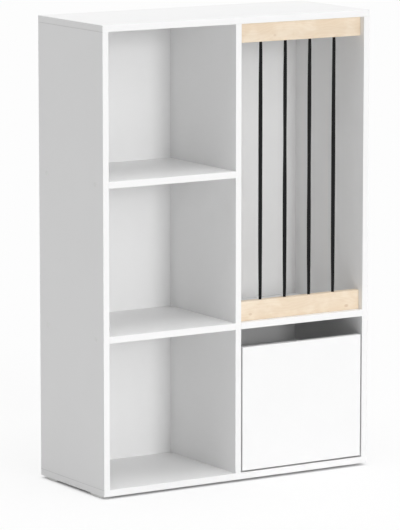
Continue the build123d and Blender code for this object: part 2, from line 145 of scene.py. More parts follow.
class Finish:
    """A material or the world, and the nodes that make it."""

    def __init__(self, name, group=None):
        group = bpy.data.materials if group is None else group
        self.material = group.new(name)
        self.material.use_nodes = True
        self.tree = self.material.node_tree
        self.tree.nodes.clear()

    def node(self, kind, settings=None, inputs=None, output=0):
        made = self.tree.nodes.new(kind)
        for key, value in (settings or {}).items():
            setattr(made, key, value)
        for key, value in (inputs or {}).items():
            if isinstance(value, Wire):
                self.tree.links.new(value.socket, made.inputs[key])
            else:
                made.inputs[key].default_value = value
        return Wire(self, made.outputs[output]) if made.outputs else None

    def place(self, stretch=(1, 1, 1)):
        """Object coordinates, stretched."""
        where = self.node("ShaderNodeTexCoord", output="Object")
        return self.node(
            "ShaderNodeMapping", inputs={"Vector": where, "Scale": stretch}
        )

    def along(self, axis):
        """Distance in metres along one axis of the shelf."""
        where = self.node("ShaderNodeTexCoord", output="Object")
        return self.node("ShaderNodeSeparateXYZ", inputs={0: where}, output=axis)

    def noise(self, scale, detail=3.0, rough=0.5, stretch=(1, 1, 1), shift=(0, 0, 0)):
        spot = self.node(
            "ShaderNodeVectorMath",
            {"operation": "ADD"},
            {0: self.place(stretch), 1: shift},
        )
        inputs = {"Vector": spot, "Scale": scale, "Detail": detail, "Roughness": rough}
        return self.node("ShaderNodeTexNoise", {}, inputs)

    def blend(self, share, first, second):
        """One colour turned into another by a share from 0 to 1."""
        colours = [
            c if isinstance(c, Wire) else (*c, 1.0)[:4] for c in (first, second)
        ]
        settings = {"data_type": "RGBA", "blend_type": "MIX"}
        return self.node(
            "ShaderNodeMix", settings, {0: share, 6: colours[0], 7: colours[1]}, 2
        )

    def bump(self, height, depth):
        """A normal from a height in 0 to 1 that stands for so many metres."""
        inputs = {"Height": height, "Distance": depth, "Strength": 1.0}
        return self.node("ShaderNodeBump", {}, inputs)

    def surface(self, **sockets):
        """The shader, with its sockets named as Blender names them, underscores for spaces."""
        inputs = {}
        for key, value in sockets.items():
            name = key.replace("_", " ")
            colour = name.endswith(("Color", "Tint")) and not isinstance(value, Wire)
            inputs[name] = (*value, 1.0)[:4] if colour else value
        shader = self.node("ShaderNodeBsdfPrincipled", {}, inputs)
        self.node("ShaderNodeOutputMaterial", inputs={"Surface": shader})
        return self.material


def white_board():
    """White melamine-faced board: near-matt foil with a fine pearled grain, edge bands, and
    painted shade in the joint grooves on the outer sides.
    """
    finish = Finish("white_board")
    cloud = finish.noise(9, 4, 0.55)
    fine = finish.noise(2600, 2, 0.6)
    front = (finish.along(1) - BAND_LINE * MM).size().under(0.00022, 0.0002)
    base = tuple(bpy.context.scene.bookshelf_finishes.board)
    dim = tuple(c * 0.975 for c in base)
    colour = finish.blend(cloud, dim, base)
    height = finish.along(2)
    # Painted shade: thin dark lines on the outer faces of the sides where the top and bottom
    # panels meet, standing in for the shadow in each joint's groove
    groove_shade = sum(
        (height - z * MM).size().under(0.0005, 0.0005) for z in (BASE + BOARD, CEILING)
    )
    outside = 1.0 - finish.along(0).size().under((RIGHT - 0.5) * MM, 0.0004)
    # The front edge-band seam is a real line; the lines at the joints are painted shade
    lines = front * 0.3 + groove_shade * outside * 0.45
    colour = finish.blend(lines, colour, tuple(c * 0.5 for c in base))
    normal = finish.bump(fine + cloud * 0.4, 0.00002)
    return finish.surface(
        Base_Color=colour,
        Roughness=0.40 + finish.noise(140, 3) * 0.12,
        Specular_IOR_Level=0.45,
        Normal=normal,
    )


def white_hardboard():
    """Hardboard with a white lacquer on the side that shows."""
    finish = Finish("white_hardboard")
    cloud = finish.noise(7, 4, 0.6, shift=(3, 1, 2))
    fibre = finish.noise(900, 4, 0.7)
    base = tuple(bpy.context.scene.bookshelf_finishes.back)
    colour = finish.blend(cloud, tuple(c * 0.97 for c in base), base)
    return finish.surface(
        Base_Color=colour,
        Roughness=0.34 + fibre * 0.14,
        Specular_IOR_Level=0.4,
        Normal=finish.bump(fibre, 0.00004),
    )


# Knots of the rails: x, z, half width and half height in metres, and how dark they are
KNOTS = (
    (0.322, 0.399, 0.007, 0.0045, 1.0),
    (0.044, 0.403, 0.006, 0.004, 0.8),
    (0.112, 1.071, 0.005, 0.0035, 0.6),
)


def spot(finish, x, z, long, high):
    """Share of a soft oval spot on the front of a rail, 1 at its middle."""
    across = (finish.along(0) - x) / long
    up = (finish.along(2) - z) / high
    return (across * across + up * up).under(0.6, 1.1)


def pale_birch():
    """Planed birch: cloudy figure, faint grain along the rail, pores, and small knots."""
    finish = Finish("pale_birch")
    base = tuple(bpy.context.scene.bookshelf_finishes.birch)
    drift = finish.noise(7, 3, 0.5, stretch=(1, 3, 3)) - 0.5
    height = finish.along(2) * 110 + drift * 9.0
    rings = (height * math.tau).sine() * 0.5 + 0.5
    pores = finish.noise(90, 4, 0.65, stretch=(0.35, 14, 14))
    clouds = finish.noise(16, 3, 0.55, stretch=(1, 1.6, 1.6), shift=(4, 0, 2))
    patches = 1.0 - clouds.under(0.5, 0.22)
    figure = rings * 0.16 + pores * 0.44 + patches * 0.4
    dark = tuple(c * s for c, s in zip(base, (0.86, 0.79, 0.71)))
    colour = finish.blend(figure, dark, base)
    knots = sum(spot(finish, *size) * dark_share for *size, dark_share in KNOTS)
    colour = finish.blend(knots * 0.4, colour, linear(186, 148, 108))
    return finish.surface(
        Base_Color=colour,
        Roughness=0.50 + pores * 0.16,
        Specular_IOR_Level=0.35,
        Normal=finish.bump(pores, 0.00006),
    )


# The elastic's weave: yarns across its width, and metres from one rib to the next
YARNS = 9
RIB_PITCH = 0.0013


def black_elastic():
    """Woven elastic: ribs across it and lines of yarn along it, on the band's own UV map."""
    finish = Finish("black_elastic")
    map_ = finish.node("ShaderNodeUVMap", {"uv_map": "UVMap"})
    across = finish.node("ShaderNodeSeparateXYZ", inputs={0: map_}, output=0)
    length = finish.node("ShaderNodeSeparateXYZ", inputs={0: map_}, output=1)
    lines = (across * (math.tau * YARNS)).sine() * 0.5 + 0.5
    ribs = (length * (math.tau / RIB_PITCH)).sine() * 0.5 + 0.5
    weave = lines * 0.6 + ribs * 0.4
    base = tuple(bpy.context.scene.bookshelf_finishes.elastic)
    colour = finish.blend(weave, tuple(c * 0.55 for c in base), base)
    return finish.surface(
        Base_Color=colour,
        Roughness=0.88 - weave * 0.12,
        Specular_IOR_Level=0.12,
        Sheen_Weight=0.04,
        Sheen_Roughness=0.5,
        Normal=finish.bump(weave, 0.00035),
    )


def moulded_plastic(name, colour, roughness):
    """Injection-moulded plastic with a spark-eroded skin."""
    finish = Finish(name)
    skin = finish.noise(3200, 2, 0.5)
    cloud = finish.noise(60, 3)
    shade = finish.blend(cloud, tuple(c * 0.94 for c in colour), colour)
    return finish.surface(
        Base_Color=shade,
        Roughness=roughness - 0.06 + skin * 0.12,
        Specular_IOR_Level=0.45,
        Normal=finish.bump(skin, 0.00003),
    )


def plated_metal(name, bright, dull, roughness, depth):
    """Plated steel or zinc: cloudy plating with fine tool marks."""
    finish = Finish(name)
    cloud = finish.noise(240, 4, 0.6)
    marks = finish.noise(1500, 3, 0.7, stretch=(1, 1, 0.15))
    return finish.surface(
        Base_Color=finish.blend(cloud, dull, bright),
        Metallic=1.0,
        Roughness=roughness + cloud * 0.14 + marks * 0.08,
        Normal=finish.bump(marks, depth),
    )


def coated_steel():
    """Rolled steel under white baked enamel."""
    finish = Finish("coated_steel")
    peel = finish.noise(700, 2, 0.45)
    cloud = finish.noise(25, 3)
    base = linear(232, 232, 230)
    return finish.surface(
        Base_Color=finish.blend(cloud, tuple(c * 0.95 for c in base), base),
        Roughness=0.28 + peel * 0.1,
        Specular_IOR_Level=0.5,
        Coat_Weight=0.25,
        Coat_Roughness=0.2,
        Normal=finish.bump(peel, 0.00005),
    )


def bare_beech():
    """Turned beech with its short darker flecks."""
    finish = Finish("bare_beech")
    fleck = finish.noise(700, 3, 0.7, stretch=(1, 1, 0.25))
    flecks = fleck.under(0.42, 0.1)
    light, dark = linear(214, 176, 132), linear(170, 124, 84)
    return finish.surface(
        Base_Color=finish.blend(flecks, light, dark),
        Roughness=0.6 + fleck * 0.2,
        Specular_IOR_Level=0.3,
        Normal=finish.bump(fleck, 0.00008),
    )


BOARDS = [
    "top_panel",
    "bottom_panel",
    "side_panel_left",
    "side_panel_right",
    "centre_divider",
    "shelf_left_upper",
    "shelf_left_lower",
    "shelf_right",
    "drawer_front",
    "drawer_side_left",
    "drawer_side_right",
    "drawer_back",
]
SHEETS = ["back_panel_left", "back_panel_right", "drawer_bottom"]
RAILS = ["rail_upper", "rail_lower"]
RUNNERS = [
    "cabinet_runner_left",
    "cabinet_runner_right",
    "drawer_runner_left",
    "drawer_runner_right",
]


def paint(names, material):
    """Puts the material in every slot of these objects of the frame."""
    for name in names:
        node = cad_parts[name]
        node.data.materials.clear()
        node.data.materials.append(material)


# Hand tools


def clear():
    """Leaves edit mode and selects nothing."""
    if bpy.context.object and bpy.context.object.mode != "OBJECT":
        bpy.ops.object.mode_set(mode="OBJECT")
    bpy.ops.object.select_all(action="DESELECT")


def start(name, primitive, **size):
    """Adds a primitive and opens it for shaping, all of it selected."""
    clear()
    primitive(**size)
    piece = bpy.context.object
    piece.name = piece.data.name = name
    bpy.ops.object.mode_set(mode="EDIT")
    bpy.ops.mesh.select_mode(type="VERT")
    bpy.ops.mesh.select_all(action="SELECT")
    return piece


def close(piece, angle=32):
    """Ends the shaping: doubles merged, faces outwards, place in the mesh."""
    bpy.ops.mesh.select_all(action="SELECT")
    bpy.ops.mesh.remove_doubles(threshold=0.000005)
    bpy.ops.mesh.normals_make_consistent(inside=False)
    bpy.ops.object.mode_set(mode="OBJECT")
    bpy.ops.object.transform_apply(location=True, rotation=True, scale=True)
    bpy.ops.object.shade_smooth_by_angle(angle=math.radians(angle))
    return piece


def turned(name, rings, sides=16, hollow=False):
    """Turns a shape about Z through rings of (height, radius), in millimetres."""
    height, radius = (value * MM for value in rings[0])
    piece = start(
        name,
        bpy.ops.mesh.primitive_circle_add,
        vertices=sides,
        radius=radius,
        fill_type="NOTHING" if hollow else "NGON",
        location=(0, 0, height),
    )
    for (low, wide), (high, narrow) in zip(rings, rings[1:]):
        grow = narrow / wide
        bpy.ops.mesh.extrude_region_move(
            TRANSFORM_OT_translate={"value": (0, 0, (high - low) * MM)}
        )
        bpy.ops.transform.resize(
            value=(grow, grow, 1), center_override=(0, 0, high * MM)
        )
    return close(piece)


def pick(piece, kind, test):
    """Selects the edges or faces that pass a test, in edit mode."""
    bpy.ops.mesh.select_mode(type=kind)
    bpy.ops.mesh.select_all(action="DESELECT")
    shape = bmesh.from_edit_mesh(piece.data)
    for item in shape.edges if kind == "EDGE" else shape.faces:
        if test(item):
            item.select_set(True)
    bmesh.update_edit_mesh(piece.data)


def upright(edge):
    a, b = (vertex.co for vertex in edge.verts)
    return abs(a.z - b.z) > 0.9 * (a - b).length


def cut(piece, *cutters):
    """Cuts the cutters out of a piece and puts them away."""
    for cutter in cutters:
        clear()
        bpy.context.view_layer.objects.active = piece
        piece.select_set(True)
        saw = piece.modifiers.new("saw", "BOOLEAN")
        saw.operation, saw.solver, saw.object = "DIFFERENCE", "EXACT", cutter
        bpy.ops.object.modifier_apply(modifier=saw.name)
        bpy.data.objects.remove(cutter)
    bpy.ops.object.shade_smooth_by_angle(angle=math.radians(32))
    return piece


def bar(low, high):
    """A block between two corners, in millimetres, as a cutter."""
    centre = [(a + b) / 2 * MM for a, b in zip(low, high)]
    size = [(b - a) * MM for a, b in zip(low, high)]
    block = start("cutter", bpy.ops.mesh.primitive_cube_add, size=1)
    bpy.ops.transform.resize(value=size, center_override=(0, 0, 0))
    bpy.ops.transform.translate(value=centre)
    return close(block)


def facing(place, way, up=None):
    """Where a shape made along +Z goes: its start at a place, its +X towards up."""
    ahead = Vector(way).normalized()
    if up is None:
        turn = ahead.to_track_quat("Z", "Y").to_matrix()
    else:
        first = Vector(up).normalized()
        turn = Matrix((first, ahead.cross(first), ahead)).transposed()
    return Matrix.Translation(Vector(place) * MM) @ turn.to_4x4()


def set_out(master, name, places, material):
    """Copies the master to each place and joins the copies into one named piece."""
    copies = []
    for place in places:
        mesh = master.data.copy()
        mesh.transform(place)
        copies.append(bpy.data.objects.new(name, mesh))
        bpy.context.collection.objects.link(copies[-1])
    bpy.data.objects.remove(master)
    clear()
    for copy in copies:
        copy.select_set(True)
    piece = bpy.context.view_layer.objects.active = copies[0]
    bpy.ops.object.join()
    piece.name = piece.data.name = name
    piece.data.materials.clear()
    piece.data.materials.append(material)
    return piece


def fitted(piece, body, slot, *nodes):
    """Says which body the piece rides on and hides the CAD nodes it stands for; the slot for its
    finish is not used.
    """
    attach(piece, body)
    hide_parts(*nodes)


def cross_recess(depth, width):
    """Cutter for a cross recess at the start of a screw."""
    arms = []
    for angle in (0, 90):
        arm = bar((-width / 2, -width / 9, -1), (width / 2, width / 9, depth))
        arm.data.transform(Matrix.Rotation(math.radians(angle), 4, "Z"))
        arms.append(arm)
    return arms


def thread(start_at, end, root, crest, pitch):
    """Rings of a thread along a shank."""
    rings = []
    height = start_at
    while height + pitch <= end:
        rings += [(height, root), (height + pitch * 0.45, crest)]
        rings += [(height + pitch * 0.55, crest)]
        height += pitch
    return rings + [(height, root)]


def wood_screw(length, head, head_length, shank, pitch=1.8, sides=12):
    """Countersunk screw with a cross recess, its head's top at the start."""
    root = shank * 0.36
    tip = shank * 1.1
    rings = [(0.0, head / 2 - 0.15), (0.15, head / 2), (head_length, shank / 2)]
    rings += thread(head_length + 1, length - tip, root, shank / 2, pitch)
    rings += [(length, shank * 0.05)]
    return cut(turned("screw", rings, sides), *cross_recess(head_length, head * 0.5))


UPRIGHTS = (LEFT + HALF_BOARD, 0, RIGHT - HALF_BOARD)
CAM_REACH = 24.0
SHELF_CAM = HALF_BOARD + CAM_REACH


def confirmat_places():
    """Where each board screw starts, and which way it goes."""
    low, high = SHELF_LOW + HALF_BOARD, SHELF_HIGH + HALF_BOARD
    places = []
    for y in FIXING_LINES:
        places += [((LEFT, y, low), (1, 0, 0)), ((LEFT, y, high), (1, 0, 0))]
        places += [((RIGHT, y, low), (-1, 0, 0)), ((HALF_BOARD, y, high), (-1, 0, 0))]
        places += [((x, y, BASE), (0, 0, 1)) for x in UPRIGHTS]
    return places


# Settings


class BookshelfFinishes(bpy.types.PropertyGroup):
    board: bpy.props.FloatVectorProperty(
        name="Board",
        description="Colour of the white boards",
        subtype="COLOR",
        default=linear(243, 243, 243),
    )
    back: bpy.props.FloatVectorProperty(
        name="Back",
        description="Colour of the hardboard back",
        subtype="COLOR",
        default=linear(240, 240, 240),
    )
    birch: bpy.props.FloatVectorProperty(
        name="Birch",
        description="Colour of the cross rails",
        subtype="COLOR",
        default=linear(243, 229, 209),
    )
    elastic: bpy.props.FloatVectorProperty(
        name="Elastic",
        description="Colour of the elastic bands",
        subtype="COLOR",
        default=linear(30, 30, 31),
    )


class BookshelfBands(bpy.types.PropertyGroup):
    width: bpy.props.FloatProperty(
        name="Width",
        description="Width of the flat elastic",
        default=0.011,
        unit="LENGTH",
    )
    thickness: bpy.props.FloatProperty(
        name="Thickness",
        description="Thickness of the flat elastic",
        default=0.0022,
        unit="LENGTH",
    )
    neck: bpy.props.FloatProperty(
        name="Neck",
        description="Diameter of the elastic where it is gathered into its hole",
        default=0.0056,
        unit="LENGTH",
    )


# Operators


class BOOKSHELF_OT_finish_boards(bpy.types.Operator):
    """Finish the boards, sheets and rails"""

    bl_idname = "bookshelf.finish_boards"
    bl_label = "Boards and Rails"

    def execute(self, context):
        paint(BOARDS, white_board())
        paint(SHEETS, white_hardboard())
        paint(RAILS, pale_birch())
        return {"FINISHED"}


class BOOKSHELF_OT_finish_fittings(bpy.types.Operator):
    """Finish the runners"""

    bl_idname = "bookshelf.finish_fittings"
    bl_label = "Runners"

    def execute(self, context):
        paint(RUNNERS, coated_steel())
        return {"FINISHED"}


class BOOKSHELF_OT_drive_screws(bpy.types.Operator):
    """Turn the board screws, wood screws and nails and drive them in"""

    bl_idname = "bookshelf.drive_screws"
    bl_label = "Screws and Nails"

    def confirmats(self, zinc):
        rings = [(0.0, 4.85), (0.15, 5.0), (3.5, 3.5), (12.0, 3.5)]
        rings += thread(12.5, 46, 2.6, 3.5, 3.0) + [(50.0, 1.6)]
        screw = turned("confirmat", rings, 16)
        socket = start(
            "socket",
            bpy.ops.mesh.primitive_cylinder_add,
            vertices=6,
            radius=2.31 * MM,
            depth=8 * MM,
            location=(0, 0, -1 * MM),
        )
        cut(screw, close(socket))
        places = [facing(*place) for place in confirmat_places()]
        piece = set_out(screw, "board_screws", places, zinc)
        fitted(piece, CARCASS, "zinc_screw", "confirmat_screws")

    def wood_screws(self, zinc):
        starts = (SHELF_LOW, CEILING - 28)
        rail = [(x, RAIL_MID, z) for x in RAIL_SCREWS for z in starts]
        foot = [(x, y, 2.0) for x in (-GLIDE_X, GLIDE_X) for y in (-GLIDE_Y, GLIDE_Y)]
        for name, length, places in (
            ("rail_wood_screws", 40, rail),
            ("foot_wood_screws", 16, foot),
        ):
            screw = wood_screw(length, 8.0, 2.2, 4.0)
            spots = [facing(place, (0, 0, 1)) for place in places]
            piece = set_out(screw, name, spots, zinc)
            node = name.replace("_wood", "")
            fitted(piece, CARCASS, "zinc_screw", node)
        box = []
        for x, way in ((BOX_LEFT, 1), (BOX_RIGHT, -1)):
            box += [facing((x, BOX_REAR, z), (way, 0, 0)) for z in (85.0, 232.0)]
        piece = set_out(wood_screw(40, 8.0, 2.2, 4.0), "box_screws", box, zinc)
        fitted(piece, DRAWER, "zinc_screw", "drawer_screws")

    def runner_screws(self, zinc):
        z = RUNNER_Z + 14
        pairs = {CARCASS: ("cabinet", 9.2, 356.8, -1)}
        pairs[DRAWER] = ("drawer", MEMBER_LEFT, MEMBER_RIGHT, 1)
        for body, (kind, left, right, way) in pairs.items():
            name, node = f"{kind}_side_screws", f"{kind}_runner_screws"
            places = []
            for y in RUNNER_SCREWS:
                places.append(facing((left, y, z), (way, 0, 0)))
                places.append(facing((right, y, z), (-way, 0, 0)))
            screw = wood_screw(11, 6.4, 1.2, 3.5, 1.4)
            piece = set_out(screw, name, places, zinc)
            fitted(piece, body, "zinc_screw", node)

    def nails(self, zinc):
        rings = [(0.0, 1.5), (0.2, 1.95), (0.6, 2.0), (0.8, 0.9), (16.0, 0.8)]
        nail = turned("nail", rings + [(18.0, 0.1)], 8)
        low, high = BASE + 12, CEILING + 4
        step = (high - low) / 5
        places = []
        for outer, inner, shelves in (
            (LEFT + 12, -4, (SHELF_LOW, SHELF_HIGH)),
            (RIGHT - 12, 4, (SHELF_LOW,)),
        ):
            places += [(x, low + step * i) for x in (outer, inner) for i in range(1, 5)]
            across = (inner - outer) / 3
            for z in [low, high] + [z + HALF_BOARD for z in shelves]:
                places += [(outer + across * i, z) for i in (1, 2)]
        spots = [facing((x, REAR, z), (0, -1, 0)) for x, z in places]
        piece = set_out(nail, "panel_nails", spots, zinc)
        fitted(piece, CARCASS, "zinc_screw", "back_nails")

    def execute(self, context):
        zinc = plated_metal(
            "zinc_plate", linear(214, 217, 222), linear(172, 176, 182), 0.24, 0.00002
        )
        self.confirmats(zinc)
        self.wood_screws(zinc)
        self.runner_screws(zinc)
        self.nails(zinc)
        return {"FINISHED"}


class BOOKSHELF_OT_set_cams(bpy.types.Operator):
    """Set the cams with their bolts and the dowels"""

    bl_idname = "bookshelf.set_cams"
    bl_label = "Cams, Bolts and Dowels"

    def cam(self, thick):
        """A cam with a cross slot in its face, a waist, and a way in for the bolt along +X."""
        deep = thick - 2.5
        rings = [(0.0, 6.9), (0.4, 7.3), (2.0, 7.3), (2.4, 6.7)]
        rings += [(deep - 2.2, 6.7), (deep - 1.8, 7.3), (deep, 7.3)]
        body = turned("cam", rings, 24)
        middle = thick / 2
        way_in = bar((2, -3.2, middle - 3.2), (9, 3.2, middle + 3.2))
        hollow = bar((-3.2, -3.2, middle - 3.4), (3.2, 3.2, middle + 3.4))
        return cut(body, way_in, hollow, *cross_recess(2.2, 9.0))

    def bolt(self, length, double):
        """A bolt with a ball head in the cam and a thread or a second head."""
        head = [(0.0, 1.6), (0.8, 2.9), (3.4, 2.9), (4.4, 1.7), (8.0, 1.7), (9.0, 2.9)]
        if double:
            tail = [(length - z, r) for z, r in reversed(head)]
            return turned("cam_bolt", head + tail, 16)
        rings = head + [(length - 11.5, 2.9)]
        rings += thread(length - 11, length - 1.5, 2.2, 2.95, 1.5) + [(length, 1.6)]
        return turned("cam_bolt", rings, 16)

    def carcass_cams(self, cast, zinc):
        cams, single, double = [], [], []
        z = CEILING - CAM_REACH
        for y in FIXING_LINES:
            faces = ((LEFT + BOARD, 1), (HALF_BOARD, 1), (RIGHT - BOARD, -1))
            for x, side in faces:
                cams.append(facing((x, y, z), (-side, 0, 0), (0, 0, 1)))
                single.append(facing((x - side * HALF_BOARD, y, z), (0, 0, 1)))
            for x, side in ((-SHELF_CAM, 1), (SHELF_CAM, -1)):
                cams.append(facing((x, y, SHELF_LOW), (0, 0, 1), (side, 0, 0)))
            double.append(facing((-SHELF_CAM, y, SHELF_LOW + HALF_BOARD), (1, 0, 0)))
        piece = set_out(self.cam(16), "shelf_cams", cams, cast)
        fitted(piece, CARCASS, "zinc_cam", "cam_housings")
        piece = set_out(self.bolt(35, False), "top_cam_bolts", single, zinc)
        fitted(piece, CARCASS, "zinc_screw", "cam_bolts")
        piece = self.bolt(2 * SHELF_CAM, True)
        piece = set_out(piece, "shelf_cam_bolts", double, zinc)
        fitted(piece, CARCASS, "zinc_screw", "cam_bolts")

    def drawer_cams(self, cast, zinc):
        cams, bolts = [], []
        for x, way in ((BOX_LEFT, 1), (BOX_RIGHT, -1)):
            for z in (80.0, 237.0):
                cams.append(facing((x, BOX_FRONT, z), (way, 0, 0), (0, -1, 0)))
                bolts.append(facing((x + way * 6, BOX_FRONT, z), (0, -1, 0)))
        piece = set_out(self.cam(12), "box_cams", cams, cast)
        fitted(piece, DRAWER, "zinc_cam", "drawer_cam_housings")
        piece = set_out(self.bolt(35, False), "box_cam_bolts", bolts, zinc)
        fitted(piece, DRAWER, "zinc_screw", "drawer_cam_bolts")

    def dowels(self, beech):
        piece = start(
            "dowel",
            bpy.ops.mesh.primitive_circle_add,
            vertices=36,
            radius=3.2 * MM,
            fill_type="NGON",
        )
        for rise, grow in ((1.2, 1.22), (27.6, 1.0), (1.2, 0.82)):
            bpy.ops.mesh.extrude_region_move(
                TRANSFORM_OT_translate={"value": (0, 0, rise * MM)}
            )
            bpy.ops.transform.resize(value=(grow, grow, 1), center_override=(0, 0, 0))
        close(piece)
        for vertex in piece.data.vertices:
            groove = math.cos(12 * math.atan2(vertex.co.y, vertex.co.x)) > 0.9
            if groove:
                vertex.co.x *= 0.955
                vertex.co.y *= 0.955
        places = [facing((x, 0, CEILING + 10), (0, 0, -1)) for x in UPRIGHTS]
        z = SHELF_LOW + HALF_BOARD
        places += [facing((2 * s, -20 * s, z), (-s, 0, 0)) for s in (1, -1)]
        piece = set_out(piece, "fluted_dowels", places, beech)
        fitted(piece, CARCASS, "beech", "dowels")

    def execute(self, context):
        cast = plated_metal(
            "cast_zinc", linear(186, 188, 190), linear(146, 148, 150), 0.38, 0.00004
        )
        bright = plated_metal(
            "bolt_zinc", linear(206, 209, 214), linear(166, 170, 176), 0.26, 0.00002
        )
        self.carcass_cams(cast, bright)
        self.drawer_cams(cast, bright)
        self.dowels(bare_beech())
        return {"FINISHED"}


class BOOKSHELF_OT_mould_plastics(bpy.types.Operator):
    """Mould the screw caps and the glide feet"""

    bl_idname = "bookshelf.mould_plastics"
    bl_label = "Caps and Feet"

    def caps(self):
        rings = [(2.5, 1.6), (2.2, 1.75), (0.0, 1.8), (0.0, 5.9), (-0.3, 6.0)]
        rings += [(-0.6, 5.75), (-0.85, 5.1), (-0.97, 3.6), (-1.0, 1.2)]
        cap = turned("cap", rings, 28)
        places = [
            facing(place, way) for place, way in confirmat_places() if not way[2]
        ]
        skin = moulded_plastic("cap_plastic", linear(241, 241, 240), 0.42)
        piece = set_out(cap, "cover_caps", places, skin)
        fitted(piece, CARCASS, "cap_plastic", "screw_caps")

    def foot(self, name, x, y, skin):
        """A glide with rounded corners, a soft lower edge and a sunk screw seat."""
        piece = bar((x - 15, y - 24.5, 0), (x + 15, y + 24.5, 6))
        piece.name = piece.data.name = name
        bpy.ops.object.mode_set(mode="EDIT")
        pick(piece, "EDGE", upright)
        bpy.ops.mesh.bevel(offset=4 * MM, segments=6)
        pick(piece, "FACE", lambda face: face.normal.z < -0.9)
        bpy.ops.mesh.bevel(offset=0.9 * MM, segments=3)
        close(piece)
        seat = turned("seat", [(-1, 4.4), (2.0, 4.4), (4.4, 2.1), (7.0, 2.1)], 20)
        seat.data.transform(Matrix.Translation((x * MM, y * MM, 0)))
        cut(piece, seat)
        piece.data.materials.clear()
        piece.data.materials.append(skin)
        fitted(piece, CARCASS, "foot_plastic", name.replace("glide", "foot"))

    def execute(self, context):
        self.caps()
        skin = moulded_plastic("foot_plastic", linear(228, 228, 226), 0.5)
        for row, y in (("front", -GLIDE_Y), ("rear", GLIDE_Y)):
            for side, x in (("left", -GLIDE_X), ("right", GLIDE_X)):
                self.foot(f"glide_{row}_{side}", x, y, skin)
        return {"FINISHED"}


class BOOKSHELF_OT_turn_rollers(bpy.types.Operator):
    """Turn the nylon rollers and their rivets"""

    bl_idname = "bookshelf.turn_rollers"
    bl_label = "Rollers and Axles"

    def roller(self):
        """A wheel with rounded shoulders and a sunk web round its hub, along +Z."""
        bore = 2.6
        rings = [(0.0, bore), (0.0, 4.3), (0.9, 4.7), (0.9, 7.4), (0.0, 7.9)]
        rings += [(0.0, 9.4), (0.25, 9.85), (0.7, 10.0), (5.4, 10.0), (5.85, 9.85)]
        rings += [(6.1, 9.4), (6.1, 7.9), (5.2, 7.4), (5.2, 4.7), (6.1, 4.3)]
        rings += [(6.1, bore), (0.0, bore)]
        return turned("roller", rings, 48, hollow=True)

    def axles(self, name, node, body, length, places, steel):
        """Rivets with a domed head on their far end."""
        rings = [(0.0, 2.3), (0.2, 2.5), (length, 2.5), (length, 3.4)]
        rings += [(length + 0.35, 3.5), (length + 0.8, 2.9), (length + 1.0, 1.4)]
        spots = [facing(*place) for place in places]
        piece = set_out(turned("rivet", rings, 24), name, spots, steel)
        fitted(piece, body, "axle_steel", node)

    def execute(self, context):
        nylon = moulded_plastic("nylon", linear(236, 235, 228), 0.38)
        steel = plated_metal(
            "axle_steel", linear(198, 200, 204), linear(160, 162, 166), 0.22, 0.00002
        )
        for kind, y in (("cabinet", CHANNEL_WHEEL), ("drawer", MEMBER_WHEEL)):
            for side, x in (("left", 10.7), ("right", 349.2)):
                node = f"{kind}_roller_{side}"
                place = facing((x, y, ROLLER_Z), (1, 0, 0))
                name = f"{kind}_wheel_{side}"
                piece = set_out(self.roller(), name, [place], nylon)
                fitted(piece, node, "nylon", node)
        y, z = CHANNEL_WHEEL, ROLLER_Z
        inner = RIGHT - BOARD
        places = [((HALF_BOARD, y, z), (1, 0, 0)), ((inner, y, z), (-1, 0, 0))]
        self.axles("channel_rivets", "cabinet_axles", CARCASS, 8.85, places, steel)
        y = MEMBER_WHEEL
        places = [((MEMBER_LEFT, y, z), (-1, 0, 0)), ((MEMBER_RIGHT, y, z), (1, 0, 0))]
        self.axles("member_rivets", "drawer_axles", DRAWER, 8.65, places, steel)
        return {"FINISHED"}


